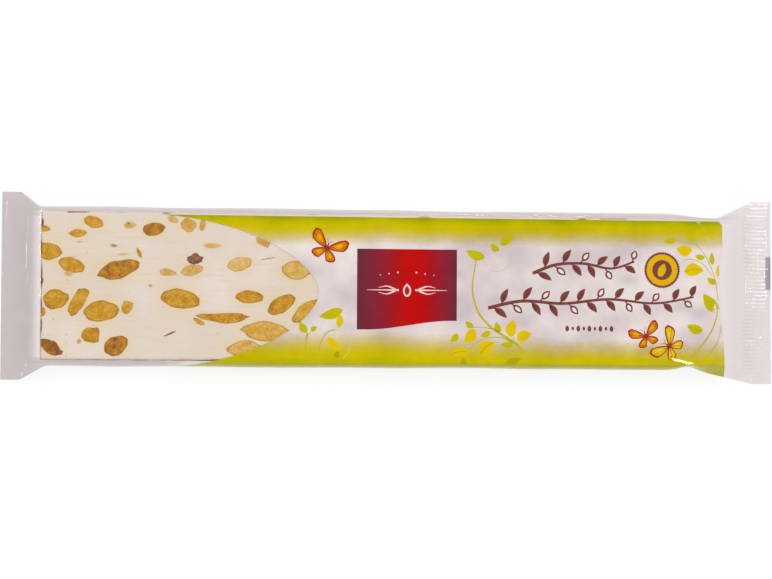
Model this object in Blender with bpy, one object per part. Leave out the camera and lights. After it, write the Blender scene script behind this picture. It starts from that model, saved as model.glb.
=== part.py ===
"""A bar of nougat sealed in a clear flow-wrap film, lying flat with its printed side up.

The pack is one closed solid: film and bar are one lump here. Its long middle is the bar,
with the film standing a little proud of both long sides. Past each end of the bar the film
runs from the bar's top and bottom edges to a flat crimped seal, the fin, and the tube
flares out to its full flat width on the way.

Frame: +X along the bar towards the fin with the longer neck, +Z up, and the origin on the
surface the pack lies on, under the middle of the whole pack. Lengths are in metres.
"""

import math

import bmesh
import bpy

# Driving dimensions
PACK_LENGTH = 0.300          # from cut edge to cut edge of the two fins
BAR_LENGTH = 0.262           # the nougat inside
BAR_WIDTH = 0.0571           # flat top of the pack, where film lies on nougat
PACK_THICKNESS = 0.0126      # nougat and both layers of film
SIDE_BULGE = 0.0022          # how far the film stands proud of each long side
TUBE_FLAT_WIDTH = 0.0718     # the film tube pressed flat, which is a fin's width
LEFT_FIN_REACH = 0.0146      # from the cut edge to the end of the bar, at -X
FIN_THICKNESS = 0.0008       # the sealed film, with its ribs filled in
FIN_HEIGHT = 0.0055          # height of a fin's middle above the ground

# The seals: their ribs run along the pack, side by side across the fin
RIB_COUNT = 30
RIB_DEPTH = 0.00018          # half the height of a rib
RIB_FADE = 0.0008            # length over which a rib rises
LEFT_SEAL_WIDTH = 0.0074     # from the cut edge to the foot of the neck, at -X
RIGHT_SEAL_WIDTH = 0.0076

# Length of each flaring edge, from the seal towards the middle; front is -Y, back is +Y
LEFT_FLARE_FRONT = 0.0095
LEFT_FLARE_BACK = 0.0068
RIGHT_FLARE_FRONT = 0.0200
RIGHT_FLARE_BACK = 0.0126

# Fineness of the mesh
SIDE_STEPS = 6               # faces round each bulging long side
BODY_STEPS = 6               # faces along the straight middle
NECK_STEPS = 4               # faces along each neck
EDGE_SOFTNESS = 0.0010       # half the width of the turn over the bar's end edges
SHARP_ANGLE = math.radians(40)

# Worked out from the above
HALF_LENGTH = PACK_LENGTH / 2
BAR_START = LEFT_FIN_REACH - HALF_LENGTH
BAR_END = BAR_START + BAR_LENGTH
LEFT_SEAL = LEFT_SEAL_WIDTH - HALF_LENGTH
RIGHT_SEAL = HALF_LENGTH - RIGHT_SEAL_WIDTH
BODY_HALF_WIDTH = BAR_WIDTH / 2 + SIDE_BULGE
FIN_HALF_WIDTH = TUBE_FLAT_WIDTH / 2
FLAT_STEPS = 2 * RIB_COUNT   # faces across the flat top, and as many across the underside


def clear_scene():
    for thing in list(bpy.data.objects):
        bpy.data.objects.remove(thing, do_unlink=True)


def clamp(value):
    return min(max(value, 0.0), 1.0)


def mix(start, end, share):
    return start + (end - start) * share


def spaced(start, end, steps):
    """Places from start to end, both included, in equal steps."""
    return [mix(start, end, index / steps) for index in range(steps + 1)]


def neck_share(x):
    """0 along the bar and 1 on a seal, rising along each neck as taut film does."""
    left = clamp((BAR_START - x) / (BAR_START - LEFT_SEAL))
    right = clamp((x - BAR_END) / (RIGHT_SEAL - BAR_END))
    return max(left, right)


def flare_share(x, left_length, right_length):
    """0 along a straight side and 1 where the tube has its full flat width."""
    left = clamp((LEFT_SEAL + left_length - x) / left_length)
    right = clamp((x - RIGHT_SEAL + right_length) / right_length)
    return max(left, right)


def rib_share(x):
    """0 off the seals and 1 on them."""
    left = clamp((LEFT_SEAL - x) / RIB_FADE)
    right = clamp((x - RIGHT_SEAL) / RIB_FADE)
    return max(left, right)


def flat_row(x, start, end, height, rib):
    """Points across the pack, up and down by turns where the seal is crimped."""
    places = enumerate(spaced(start, end, FLAT_STEPS))
    return [(x, y, height + rib * (-1) ** index) for index, y in places]


def side_arc(x, centre, reach, middle, half_height):
    """Points down one bulging side, without its two ends. The reach is below zero at -Y."""
    turns = spaced(math.pi / 2, -math.pi / 2, SIDE_STEPS)[1:-1]
    return [(x, centre + reach * math.cos(turn), middle + half_height * math.sin(turn)) for turn in turns]


def section(x):
    """The pack cut across at x: a loop over the top, down the back, under, and up the front."""
    neck = neck_share(x)
    rib = RIB_DEPTH * rib_share(x)
    top = mix(PACK_THICKNESS, FIN_HEIGHT + FIN_THICKNESS / 2, neck)
    bottom = mix(0.0, FIN_HEIGHT - FIN_THICKNESS / 2, neck)
    bulge = mix(SIDE_BULGE, FIN_THICKNESS / 2, neck)
    flare_front = flare_share(x, LEFT_FLARE_FRONT, RIGHT_FLARE_FRONT)
    flare_back = flare_share(x, LEFT_FLARE_BACK, RIGHT_FLARE_BACK)
    front = bulge - mix(BODY_HALF_WIDTH, FIN_HALF_WIDTH, flare_front)
    back = mix(BODY_HALF_WIDTH, FIN_HALF_WIDTH, flare_back) - bulge
    middle = (top + bottom) / 2 + rib
    half_height = (top - bottom) / 2
    over = flat_row(x, front, back, top, rib)
    down = side_arc(x, back, bulge, middle, half_height)
    under = flat_row(x, front, back, bottom, rib)
    up = side_arc(x, front, -bulge, middle, half_height)
    return over + down + under[::-1] + up[::-1]


def stations():
    """Where the sections stand, from one cut edge to the other, closest where the shape turns."""
    places = {-HALF_LENGTH, LEFT_SEAL - RIB_FADE, RIGHT_SEAL + RIB_FADE, HALF_LENGTH}
    places.update(spaced(LEFT_SEAL, BAR_START - EDGE_SOFTNESS, NECK_STEPS))
    places.update(spaced(BAR_START + EDGE_SOFTNESS, BAR_END - EDGE_SOFTNESS, BODY_STEPS))
    places.update(spaced(BAR_END + EDGE_SOFTNESS, RIGHT_SEAL, NECK_STEPS))
    places.update({LEFT_SEAL + LEFT_FLARE_FRONT, RIGHT_SEAL - RIGHT_FLARE_FRONT})
    return sorted(places)


def close_end(bm, ring):
    """Fill the cut edge of a fin: four-sided faces between its two layers, and a cap at each side."""
    over = ring[:FLAT_STEPS + 1]
    down = ring[FLAT_STEPS + 1:FLAT_STEPS + SIDE_STEPS]
    under = ring[FLAT_STEPS + SIDE_STEPS:2 * FLAT_STEPS + SIDE_STEPS + 1][::-1]
    up = ring[2 * FLAT_STEPS + SIDE_STEPS + 1:]
    for index in range(FLAT_STEPS):
        bm.faces.new((over[index], over[index + 1], under[index + 1], under[index]))
    bm.faces.new([over[-1], *down, under[-1]])
    bm.faces.new([under[0], *up, over[0]])


def wrapped_bar_mesh():
    """The sections joined one to the next, and closed at both cut edges."""
    bm = bmesh.new()
    rings = [[bm.verts.new(point) for point in section(x)] for x in stations()]
    for near, far in zip(rings, rings[1:]):
        for index in range(len(near)):
            last = index - 1
            bm.faces.new((near[last], near[index], far[index], far[last]))
    close_end(bm, rings[0])
    close_end(bm, rings[-1])
    bmesh.ops.recalc_face_normals(bm, faces=bm.faces)
    mesh = bpy.data.meshes.new("wrapped_bar")
    bm.to_mesh(mesh)
    bm.free()
    mesh.shade_smooth()
    mesh.set_sharp_from_angle(angle=SHARP_ANGLE)
    return mesh


def film_material():
    """Glossy clear film over cream nougat, as one plain colour."""
    material = bpy.data.materials.new("clear_film_over_nougat")
    material.use_nodes = True
    shader = material.node_tree.nodes["Principled BSDF"]
    shader.inputs["Base Color"].default_value = (0.72, 0.62, 0.52, 1.0)
    shader.inputs["Roughness"].default_value = 0.15
    shader.inputs["Metallic"].default_value = 0.0
    return material


def build():
    clear_scene()
    parts = bpy.data.collections.new("nougat_bar")
    bpy.context.scene.collection.children.link(parts)
    mesh = wrapped_bar_mesh()
    mesh.materials.append(film_material())
    parts.objects.link(bpy.data.objects.new("wrapped_nougat_bar", mesh))


build()
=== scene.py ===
# %% [markdown]
# # A bar of almond nougat in its flow-wrap film
#
# A flow wrap is one long tube of clear plastic film. The machine folds it round the bar, seals it
# under the bar into a long back seam, and then bites it flat in front of and behind the bar, which
# makes the two crimped fins. This lesson builds the film, the nougat with its cut almonds, and the
# ink of the print, each as a mesh of its own at its real size.

# %% Load the frame
import math
import random

import bmesh
import bpy
import numpy as np
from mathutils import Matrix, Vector, noise


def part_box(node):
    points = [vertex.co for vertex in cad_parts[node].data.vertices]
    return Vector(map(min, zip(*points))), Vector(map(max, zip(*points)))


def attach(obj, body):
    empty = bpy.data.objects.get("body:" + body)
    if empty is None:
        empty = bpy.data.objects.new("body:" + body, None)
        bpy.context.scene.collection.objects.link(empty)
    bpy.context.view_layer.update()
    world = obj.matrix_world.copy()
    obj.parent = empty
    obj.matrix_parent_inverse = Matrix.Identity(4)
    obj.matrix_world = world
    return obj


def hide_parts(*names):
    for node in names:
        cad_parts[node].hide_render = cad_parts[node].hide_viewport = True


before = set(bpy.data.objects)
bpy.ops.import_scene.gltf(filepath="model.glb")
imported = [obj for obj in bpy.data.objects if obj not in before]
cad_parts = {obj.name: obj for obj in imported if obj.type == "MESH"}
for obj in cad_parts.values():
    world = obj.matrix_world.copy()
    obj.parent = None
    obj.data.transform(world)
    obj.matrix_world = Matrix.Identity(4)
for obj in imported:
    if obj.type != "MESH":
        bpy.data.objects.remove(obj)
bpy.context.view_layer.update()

PACK = "wrapped_nougat_bar"
low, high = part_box(PACK)
print("pack, mm:", [round((b - a) * 1000, 1) for a, b in zip(low, high)])

# %% [markdown]
# ## Sizes
#
# Everything is worked out from the pack's own box. Along the bar runs x, from the left fin to the
# right one, and y runs across it, from the front to the back. The sizes inside the box are those of
# the wrapping: the bar fills the middle, and the film needs a neck at each end to come down to the
# seal. A number in millimetres is easier to picture, so MM turns it to metres.

# %% Sizes of bar, film and seals
MM = 0.001
LEFT_CUT, RIGHT_CUT = low[0], high[0]
FIN_HALF_WIDTH = high[1]
PACK_TOP = high[2] - 0.12 * MM
BAR_START = LEFT_CUT + 14.6 * MM
BAR_LENGTH = 262 * MM
BAR_END = BAR_START + BAR_LENGTH
BAR_HALF_WIDTH = 28.55 * MM
FIN_HEIGHT = 5.5 * MM
FILM_BOTTOM = 0.30 * MM
SIDE_LENGTH = 2 * (FIN_HALF_WIDTH - BAR_HALF_WIDTH)
SIDE_BULGE = 2.2 * MM
print("bar, mm:", round(BAR_LENGTH / MM), "x", round(2 * BAR_HALF_WIDTH / MM, 1))

# %% [markdown]
# ## Small tools
#
# Colours are written as sRGB hex, the way a designer reads them off a swatch, and Blender wants them
# linear, so one function turns them. Another adds a node with its settings and its links in one line,
# and a third turns points and faces into a finished piece that rides on the pack's body.


# %% Small tools
def srgb(text):
    """#RRGGBB as linear red, green, blue and alpha."""
    parts = [int(text[i:i + 2], 16) / 255 for i in (1, 3, 5)]
    linear = [c / 12.92 if c <= 0.04045 else ((c + 0.055) / 1.055) ** 2.4 for c in parts]
    return (*linear, 1.0)


def mix(start, end, share):
    return start + (end - start) * share


def smooth(value):
    """0 below 0, 1 above 1, and a soft S between."""
    value = np.clip(value, 0.0, 1.0)
    return value * value * (3 - 2 * value)


def add_node(tree, kind, inputs=None, **settings):
    """A node with its settings. An input takes a value, or another node's output as a link."""
    made = tree.nodes.new(kind)
    for name, value in settings.items():
        setattr(made, name, value)
    for name, value in (inputs or {}).items():
        if isinstance(value, bpy.types.NodeSocket):
            tree.links.new(value, made.inputs[name])
        else:
            made.inputs[name].default_value = value
    return made


def new_material(name):
    """An empty material: its tree and its output node."""
    material = bpy.data.materials.new(name)
    material.use_nodes = True
    material.node_tree.nodes.clear()
    return material, material.node_tree, material.node_tree.nodes.new("ShaderNodeOutputMaterial")


def fill_ramp(ramp_node, stops):
    """Set a colour ramp's stops from (place, hex) pairs."""
    stops = list(stops)
    elements = ramp_node.color_ramp.elements
    while len(elements) < len(stops):
        elements.new(0.5)
    for element, (place, colour) in zip(elements, stops):
        element.position = place
        element.color = srgb(colour)


def grid_faces(rows, columns, first=0, closed=False):
    """Four-sided faces over a grid of points. A closed grid joins its last column to its first."""
    faces = []
    width = columns if closed else columns - 1
    for row in range(rows - 1):
        for column in range(width):
            a = first + row * columns + column
            b = first + row * columns + (column + 1) % columns
            faces.append((a, b, b + columns, a + columns))
    return faces


def add_piece(name, points, faces, material, values=None):
    """A smooth-shaded mesh on the pack's body, with named values on its points for its material."""
    mesh = bpy.data.meshes.new(name)
    mesh.from_pydata([tuple(p) for p in points], [], faces)
    for value_name, numbers in (values or {}).items():
        layer = mesh.attributes.new(value_name, "FLOAT", "POINT")
        layer.data.foreach_set("value", np.asarray(numbers, dtype=np.float32))
    mesh.materials.append(material)
    bm = bmesh.new()
    bm.from_mesh(mesh)
    bmesh.ops.recalc_face_normals(bm, faces=bm.faces)
    bm.to_mesh(mesh)
    bm.free()
    mesh.shade_smooth()
    piece = bpy.data.objects.new(name, mesh)
    bpy.context.scene.collection.objects.link(piece)
    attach(piece, "root")
    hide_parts(PACK)
    print(name, len(mesh.polygons), "faces")
    return piece


# %% [markdown]
# ## The shape of the film
#
# A place on the film has two numbers: x along the pack, and s, the distance round the tube from the
# middle of the top. Paper models work the same way: film bends, but it doesn't stretch. Over the bar
# the tube is a flat top, two bulging sides and a flat underside. On a fin it is pressed flat. Each
# neck is ruled with straight lines between the two, as taut film lies, so one function of x and s
# gives the whole tube, and the print can later be laid on it by the same numbers.

# %% The tube over the bar, and the tube pressed flat
NECK_FOOT_LEFT = LEFT_CUT + 10.2 * MM
NECK_FOOT_RIGHT = RIGHT_CUT - 10.4 * MM
FOOT_CORNER_LEFT = LEFT_CUT + 7.2 * MM
FOOT_CORNER_RIGHT = RIGHT_CUT - 7.6 * MM
FLARE_START_FRONT_LEFT = LEFT_CUT + 16.8 * MM
FLARE_START_BACK_LEFT = LEFT_CUT + 14.3 * MM
FLARE_START_FRONT_RIGHT = RIGHT_CUT - 32.0 * MM
FLARE_START_BACK_RIGHT = RIGHT_CUT - 22.0 * MM
LAYER_GAP = 0.16 * MM


def side_bulge(x, s):
    """How far a side stands proud. It slackens to nothing where the film turns in at the right end."""
    back_waist = 1.5 * MM * smooth((x - (BAR_END - 20 * MM)) / (18 * MM))
    front_waist = 1.3 * MM * np.exp(-((x - (BAR_END - 10 * MM)) / (5 * MM)) ** 2)
    slack = 0.35 * MM * np.sin(x / (17 * MM)) * np.sin(x / (41 * MM) + 1)
    return SIDE_BULGE - np.where(s > 0, back_waist, front_waist) - np.abs(slack)


def over_bar(x, s):
    """The tube's y and z over the bar."""
    away = np.abs(s) - BAR_HALF_WIDTH
    turn = np.pi * np.clip(away / SIDE_LENGTH, 0, 1)
    under = np.clip(away - SIDE_LENGTH, 0, None)
    half_height = (PACK_TOP - FILM_BOTTOM) / 2
    flat = np.minimum(np.abs(s), BAR_HALF_WIDTH)
    y = np.sign(s) * (flat + side_bulge(x, s) * np.sin(turn) - under)
    z = FILM_BOTTOM + half_height * (1 + np.cos(turn))
    return y, z


def on_fin(s):
    """The tube's y and z where it is pressed flat."""
    reach = np.abs(s)
    on_top = reach <= FIN_HALF_WIDTH
    y = np.sign(s) * np.where(on_top, reach, 2 * FIN_HALF_WIDTH - reach)
    z = FIN_HEIGHT + np.where(on_top, LAYER_GAP / 2, -LAYER_GAP / 2)
    return y, z


def neck_share(x, s):
    """0 over the bar and 1 on a fin. Towards the corners the neck starts and ends elsewhere."""
    corner = smooth((FIN_HALF_WIDTH - np.abs(np.abs(s) - FIN_HALF_WIDTH)) / FIN_HALF_WIDTH * 5 - 4)
    side = smooth((np.abs(s) - 25 * MM) / (11 * MM)) * smooth(
        (2 * FIN_HALF_WIDTH - 25 * MM - np.abs(s)) / (11 * MM)
    )
    waver = 0.25 * MM * np.sin(s / (2.1 * MM)) + 0.30 * MM * np.sin(s / (5.3 * MM) + 1)
    left_flare = np.where(s > 0, FLARE_START_BACK_LEFT, FLARE_START_FRONT_LEFT)
    right_flare = np.where(s > 0, FLARE_START_BACK_RIGHT, FLARE_START_FRONT_RIGHT)
    left_start = mix(BAR_START, left_flare, side) + 0.5 * waver
    right_start = mix(BAR_END, right_flare, side) + waver
    left_foot = mix(NECK_FOOT_LEFT, FOOT_CORNER_LEFT, corner)
    right_foot = mix(NECK_FOOT_RIGHT, FOOT_CORNER_RIGHT, corner)
    left = (left_start - x) / (left_start - left_foot)
    right = (x - right_start) / (right_foot - right_start)
    rise = np.maximum(left, right)
    softness = 0.08
    return np.clip((rise + np.sqrt(rise * rise + softness ** 2)) / 2, 0, 1)


print("necks, mm:", round((BAR_START - NECK_FOOT_LEFT) / MM, 1), round((NECK_FOOT_RIGHT - BAR_END) / MM, 1))

# %% [markdown]
# ## Creases, wrinkles and ribs
#
# Film that is pulled from a rectangle into a flat line can't lie quite smooth. It makes a few sharp
# creases where the seal begins, fans of wrinkles on the necks and a dimple at the bar's corner. A
# bump map would show none of this along the edge, so the film's points are really moved. Every
# crease is a low ridge along a line, and the ribs of the seal are a cosine across the fin.

# %% Creases, wrinkles and ribs
RIB_PITCH = 1.5 * MM
CREASES = [
    # from x, y, to x, y, width and height, all in mm
    (-139.6, 23, -139.9, 4, 0.5, 0.40),
    (-139.5, 4, -139.2, -10, 0.45, 0.34),
    (-138.3, 1, -138.2, -21, 0.6, -0.30),
    (-147.6, 34, -147.8, 12, 0.5, 0.36),
    (-147.8, 12, -147.6, -30, 0.40, 0.08),
    (-146.5, 31, -138.5, 35, 0.6, 0.36),
    (126.5, 8.5, 134.5, 19, 0.55, 0.22),
    (131.0, 0, 137.0, -3.5, 0.7, -0.18),
    (133.0, -12, 139.0, -10, 0.8, 0.18),
    (118.6, 26.6, 122.2, 22.6, 0.8, 0.42),
    (121.6, 20.9, 123.2, 19.6, 1.0, 0.36),
    (126.0, 28.6, 128.2, 27.0, 0.6, 0.30),
    (96.0, -26.2, 108.0, -26.6, 0.6, 0.20),
    (107.0, -26.6, 118.5, -29.4, 0.8, 0.40),
    (122.5, -25.0, 128.5, -30.5, 0.9, 0.20),
    (129.0, 24.5, 138.0, 29.5, 0.7, 0.16),
]


def crease_height(x, y):
    """The ridges and furrows that cross this place, added up."""
    total = np.zeros_like(x)
    for x0, y0, x1, y1, width, height in CREASES:
        start = np.array([x0, y0]) * MM
        way = np.array([x1, y1]) * MM - start
        length = np.hypot(*way)
        along = ((x - start[0]) * way[0] + (y - start[1]) * way[1]) / length ** 2
        nearest = np.clip(along, 0, 1)
        gap = np.hypot(x - start[0] - nearest * way[0], y - start[1] - nearest * way[1])
        fade = smooth((1.0 - np.abs(2 * nearest - 1)) * 3 + 0.15)
        total += height * MM * fade * np.exp(-(gap / (width * MM)) ** 2)
    return total


def ripples(x, s, length, seed):
    """Soft random waves of about this length, between -1 and 1."""
    chance = random.Random(seed)
    total = np.zeros_like(x)
    for _ in range(6):
        angle = chance.uniform(0, math.pi)
        pitch = length * chance.uniform(0.6, 1.6)
        phase = chance.uniform(0, 2 * math.pi)
        total += np.sin(2 * np.pi * (x * math.cos(angle) + s * math.sin(angle)) / pitch + phase)
    return total / 6


def rib_height(x, y):
    """The crimped ribs, which fade out at both rims of each seal."""
    left = smooth((x - LEFT_CUT - 2.4 * MM) / MM) * smooth((NECK_FOOT_LEFT - x) / MM)
    right = smooth((x - NECK_FOOT_RIGHT + 0.6 * MM) / MM) * smooth((RIGHT_CUT - 0.6 * MM - x) / MM)
    wave = np.cos(2 * np.pi * y / RIB_PITCH)
    unevenness = 0.6 + 0.4 * ripples(x, y, 22 * MM, 5)
    return wave * unevenness * (0.05 * MM * left + 0.15 * MM * right)


def film_base(x, s):
    """A point of the film's outer face, for arrays of x and s."""
    share = neck_share(x, s)
    bar_y, bar_z = over_bar(x, s)
    fin_y, fin_z = on_fin(s)
    y = mix(bar_y, fin_y, share)
    z = mix(bar_z, fin_z, share)
    upward = np.where(np.abs(s) <= FIN_HALF_WIDTH, 1.0, 0.0)
    on_neck = 4 * share * (1 - share)
    fan = np.sin(2 * np.pi * (s + 2.5 * MM * ripples(x, s, 30 * MM, 8)) / (7.5 * MM))
    z = z + on_neck * (0.22 * MM * fan + 0.15 * MM * ripples(x, s, 9 * MM, 3))
    z = z + share * 0.35 * MM * ripples(x, y, 40 * MM, 11)
    z = z + 0.012 * MM * ripples(x, s, 14 * MM, 4)
    z = z + upward * crease_height(x, y) + share * rib_height(x, y)
    return np.stack([x, y, z], axis=-1)


def film_point(x, s, lift=0.0):
    """A point at a small height over the film's outer face, or under it where lift is below zero."""
    x, s = np.broadcast_arrays(np.asarray(x, float), np.asarray(s, float))
    here = film_base(x, s)
    if lift == 0.0:
        return here
    step = 0.1 * MM
    along = film_base(x + step, s) - film_base(x - step, s)
    round_tube = film_base(x, s + step) - film_base(x, s - step)
    outward = np.cross(along, round_tube)
    outward /= np.linalg.norm(outward, axis=-1, keepdims=True)
    return here + outward * lift


print("creases:", len(CREASES), "and a rib every", round(RIB_PITCH / MM, 1), "mm")

# %% [markdown]
# ## The film as a mesh
#
# The mesh is a grid over x and s. Its rows stand close together on the fins and necks, where the
# film turns and wrinkles, and far apart over the bar, where it lies flat. Its columns have to be
# fine all over, because four of them make one rib. Both cut edges are closed with one row of faces.


# %% The film as a mesh
def places(start, end, step):
    """Places from start up to, but not at, end, about one step apart."""
    count = max(1, round((end - start) / step))
    return [mix(start, end, index / count) for index in range(count)]


def film_rows():
    return np.array(
        places(LEFT_CUT, BAR_START + MM, 0.4 * MM)
        + places(BAR_START + MM, BAR_START + 12 * MM, 1.1 * MM)
        + places(BAR_START + 12 * MM, BAR_END - 36 * MM, 5 * MM)
        + places(BAR_END - 36 * MM, BAR_END - 10 * MM, 0.8 * MM)
        + places(BAR_END - 10 * MM, RIGHT_CUT, 0.45 * MM)
        + [RIGHT_CUT]
    )


def film_columns():
    count = 4 * round(2 * FIN_HALF_WIDTH / RIB_PITCH) * 2
    return -2 * FIN_HALF_WIDTH + 4 * FIN_HALF_WIDTH * np.arange(count) / count


def film_haze_and_painted_shade(x, s):
    """How cloudy the film looks, with painted shade in the same grey: cloudy on the fins, darker on the left
    fin as painted shade, painted shade on the sides but less on the printed front, and painted shading along
    the ribs.
    """
    # Painted shade: the left fin gets more than three times the grey of the right one.
    left_fin = smooth((BAR_START - x) / (5 * MM))
    right_fin = smooth((x - BAR_END) / (12 * MM))
    # Painted shade: the bulging sides are greyed, much less so on the printed front side.
    sides = smooth((np.abs(s) - BAR_HALF_WIDTH + 0.5 * MM) / MM) * smooth((45 * MM - np.abs(s)) / MM)
    printed = smooth((x - BAR_START - 46 * MM) / (14 * MM)) * (s < 0)
    sides = sides * (1 - 0.9 * printed)
    # Painted shading of the ribs: on the right seal the grey rises and falls with every rib.
    ribs = 0.5 + 0.5 * np.cos(2 * np.pi * on_fin(s)[0] / RIB_PITCH)
    seal = smooth((x - NECK_FOOT_RIGHT + 1.5 * MM) / MM) * smooth((RIGHT_CUT - 5 * MM - x) / (3 * MM))
    painted_rib_shade = 0.16 * seal * ribs * smooth(0.6 + 0.8 * ripples(x, s, 24 * MM, 6))
    cloud = 1 + 0.12 * ripples(x, s, 12 * MM, 9)
    return cloud * (left_fin + 0.30 * right_fin) + painted_rib_shade + 0.80 * sides * (1 - left_fin) * (1 - right_fin)


def build_film(material):
    rows, columns = film_rows(), film_columns()
    x, s = np.meshgrid(rows, columns, indexing="ij")
    points = film_point(x, s).reshape(-1, 3)
    count = len(columns)
    faces = grid_faces(len(rows), count, closed=True)
    half = count // 2
    quarter = count // 4
    for first in (0, (len(rows) - 1) * count):
        for index in range(half - 1):
            top = [first + quarter + index, first + quarter + index + 1]
            under = [first + (quarter - index - 1) % count, first + (quarter - index) % count]
            quad = (*top, *under) if first else (*under[::-1], *top[::-1])
            if len(set(quad)) == 4:
                faces.append(quad)
    return add_piece("film", points, faces, material, {"haze_and_painted_shade": film_haze_and_painted_shade(x, s).ravel()})


# %% [markdown]
# ## Clear film as a material
#
# The film is biaxially stretched polypropylene, about 0.03 mm thick. So thin a sheet doesn't bend
# light: what lies behind shows straight through, and only the gloss of the surface is added. A glass
# shader would refract as if the pack were solid, so the film is Transparent mixed with Glossy, and
# Fresnel at the plastic's IOR of 1.49 says how much of each. A sheet this thin never traps the light
# that leaves through it, so only its outer face mirrors. The seals scatter a little light, which a
# thin share of grey Diffuse gives. The same grey is also painted shade: more of it on the left fin,
# on the bulging sides and along the ribs.


# %% Clear film
def clear_film_material():
    material, tree, output = new_material("polypropylene_film_cast_and_stretched")
    where = add_node(tree, "ShaderNodeTexCoord").outputs["Object"]
    smears = add_node(tree, "ShaderNodeTexNoise", {"Vector": where, "Scale": 1 / (9 * MM), "Detail": 3.0})
    rough = add_node(
        tree, "ShaderNodeMapRange",
        {"Value": smears.outputs["Fac"], "From Min": 0.3, "From Max": 0.7, "To Min": 0.04, "To Max": 0.10},
    )
    clear = add_node(tree, "ShaderNodeBsdfTransparent", {"Color": srgb("#F8F4F4")})
    gloss = add_node(
        tree, "ShaderNodeBsdfAnisotropic", {"Color": srgb("#FFFFFF"), "Roughness": rough.outputs["Result"]}
    )
    fresnel = add_node(tree, "ShaderNodeFresnel", {"IOR": 1.49})
    side = add_node(tree, "ShaderNodeNewGeometry")
    outside = add_node(tree, "ShaderNodeMath", {0: 1.0, 1: side.outputs["Backfacing"]}, operation="SUBTRACT")
    mirrored = add_node(
        tree, "ShaderNodeMath",
        {0: fresnel.outputs["Fac"], 1: outside.outputs["Value"]}, operation="MULTIPLY",
    )
    film = add_node(
        tree, "ShaderNodeMixShader",
        {0: mirrored.outputs["Value"], 1: clear.outputs["BSDF"], 2: gloss.outputs["BSDF"]},
    )
    haze_and_painted_shade = add_node(tree, "ShaderNodeAttribute", attribute_name="haze_and_painted_shade")
    milk_and_painted_shade = add_node(
        tree, "ShaderNodeMapRange",
        {"Value": haze_and_painted_shade.outputs["Fac"], "From Min": 0.0, "From Max": 1.0, "To Min": 0.0, "To Max": 0.34},
    )
    # The grey Diffuse is the seals' cloudiness and also painted shade, in the share the point value gives.
    grey = add_node(tree, "ShaderNodeBsdfDiffuse", {"Color": srgb("#A89E9E")})
    surface = add_node(
        tree, "ShaderNodeMixShader",
        {0: milk_and_painted_shade.outputs["Result"], 1: film.outputs["Shader"], 2: grey.outputs["BSDF"]},
    )
    tree.links.new(surface.outputs["Shader"], output.inputs["Surface"])
    return material


FILM = clear_film_material()
build_film(FILM)


# %% [markdown]
# ## The back seam
#
# Under the bar the two rims of the film are sealed face to face, and the seam lies folded over to
# one side. It is a strip about 11 mm wide that runs the whole length. It lies between the bar and
# whatever the pack rests on, so it is flat, with the same fine ribs as the fins.

# %% The back seam
SEAM_WIDTH = 11 * MM


def build_seam(material):
    x_places = np.linspace(BAR_START + 3 * MM, BAR_END - 3 * MM, 150)
    y_places = np.linspace(0, SEAM_WIDTH, 45)
    x, y = np.meshgrid(x_places, y_places, indexing="ij")
    ribs = 0.03 * MM * np.cos(2 * np.pi * y / (0.9 * MM))
    height = mix(FILM_BOTTOM - 0.06 * MM, 0.08 * MM, smooth(y / (2 * MM)))
    wave = 0.02 * MM * ripples(x, y, 30 * MM, 21)
    upper = np.stack([x, y, height + ribs + wave], axis=-1).reshape(-1, 3)
    lower = upper - np.array([0, 0, 0.03 * MM])
    count = len(upper)
    columns = len(y_places)
    faces = grid_faces(len(x_places), columns)
    faces += [tuple(count + i for i in face[::-1]) for face in faces]
    rim = list(range(columns))
    rim += [row * columns + columns - 1 for row in range(1, len(x_places))]
    rim += [(len(x_places) - 1) * columns + i for i in range(columns - 2, -1, -1)]
    rim += [row * columns for row in range(len(x_places) - 2, 0, -1)]
    for here, after in zip(rim, rim[1:] + rim[:1]):
        faces.append((after, here, count + here, count + after))
    points = np.concatenate([upper, lower])
    return add_piece("back_seam", points, faces, material, {"haze_and_painted_shade": np.full(len(points), 0.6)})


build_seam(FILM)

# %% [markdown]
# ## The nougat bar
#
# The bar is cut from a slab with a long knife. Its top and underside are nearly flat, its long sides
# a little uneven, and its two ends rough, where the blade met almonds. It starts as the faces of a
# box, with closer lines near the edges, and every point is then pulled onto a rounded box and pushed
# in or out by noise: least on the top, most on the ends.

# %% The nougat bar
BAR_GAP = 0.22 * MM
BAR_LOW = Vector((BAR_START + 0.5 * MM, -BAR_HALF_WIDTH + 0.35 * MM, FILM_BOTTOM + 0.12 * MM))
BAR_HIGH = Vector((BAR_END - 1.7 * MM, BAR_HALF_WIDTH - 0.35 * MM, PACK_TOP - BAR_GAP))
EDGE_ROUNDING = 0.9 * MM


def lines_across(start, end, step):
    """Places along one side of the box, closer together within the rounding of each edge."""
    near = [0, 0.25, 0.6]
    inner = places(start + EDGE_ROUNDING, end - EDGE_ROUNDING, step) + [end - EDGE_ROUNDING]
    left = [start + share * EDGE_ROUNDING for share in near]
    right = [end - share * EDGE_ROUNDING for share in near[::-1]]
    return left + inner + right


def box_side(bm, first, second, axis, value):
    """One side of the box as a grid: its two running axes are the other two."""
    others = [i for i in range(3) if i != axis]
    rows = []
    for a in first:
        row = []
        for b in second:
            place = [0.0, 0.0, 0.0]
            place[others[0]], place[others[1]], place[axis] = a, b, value
            row.append(bm.verts.new(place))
        rows.append(row)
    for near, far in zip(rows, rows[1:]):
        for i in range(len(near) - 1):
            bm.faces.new((near[i], near[i + 1], far[i + 1], far[i]))


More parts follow.
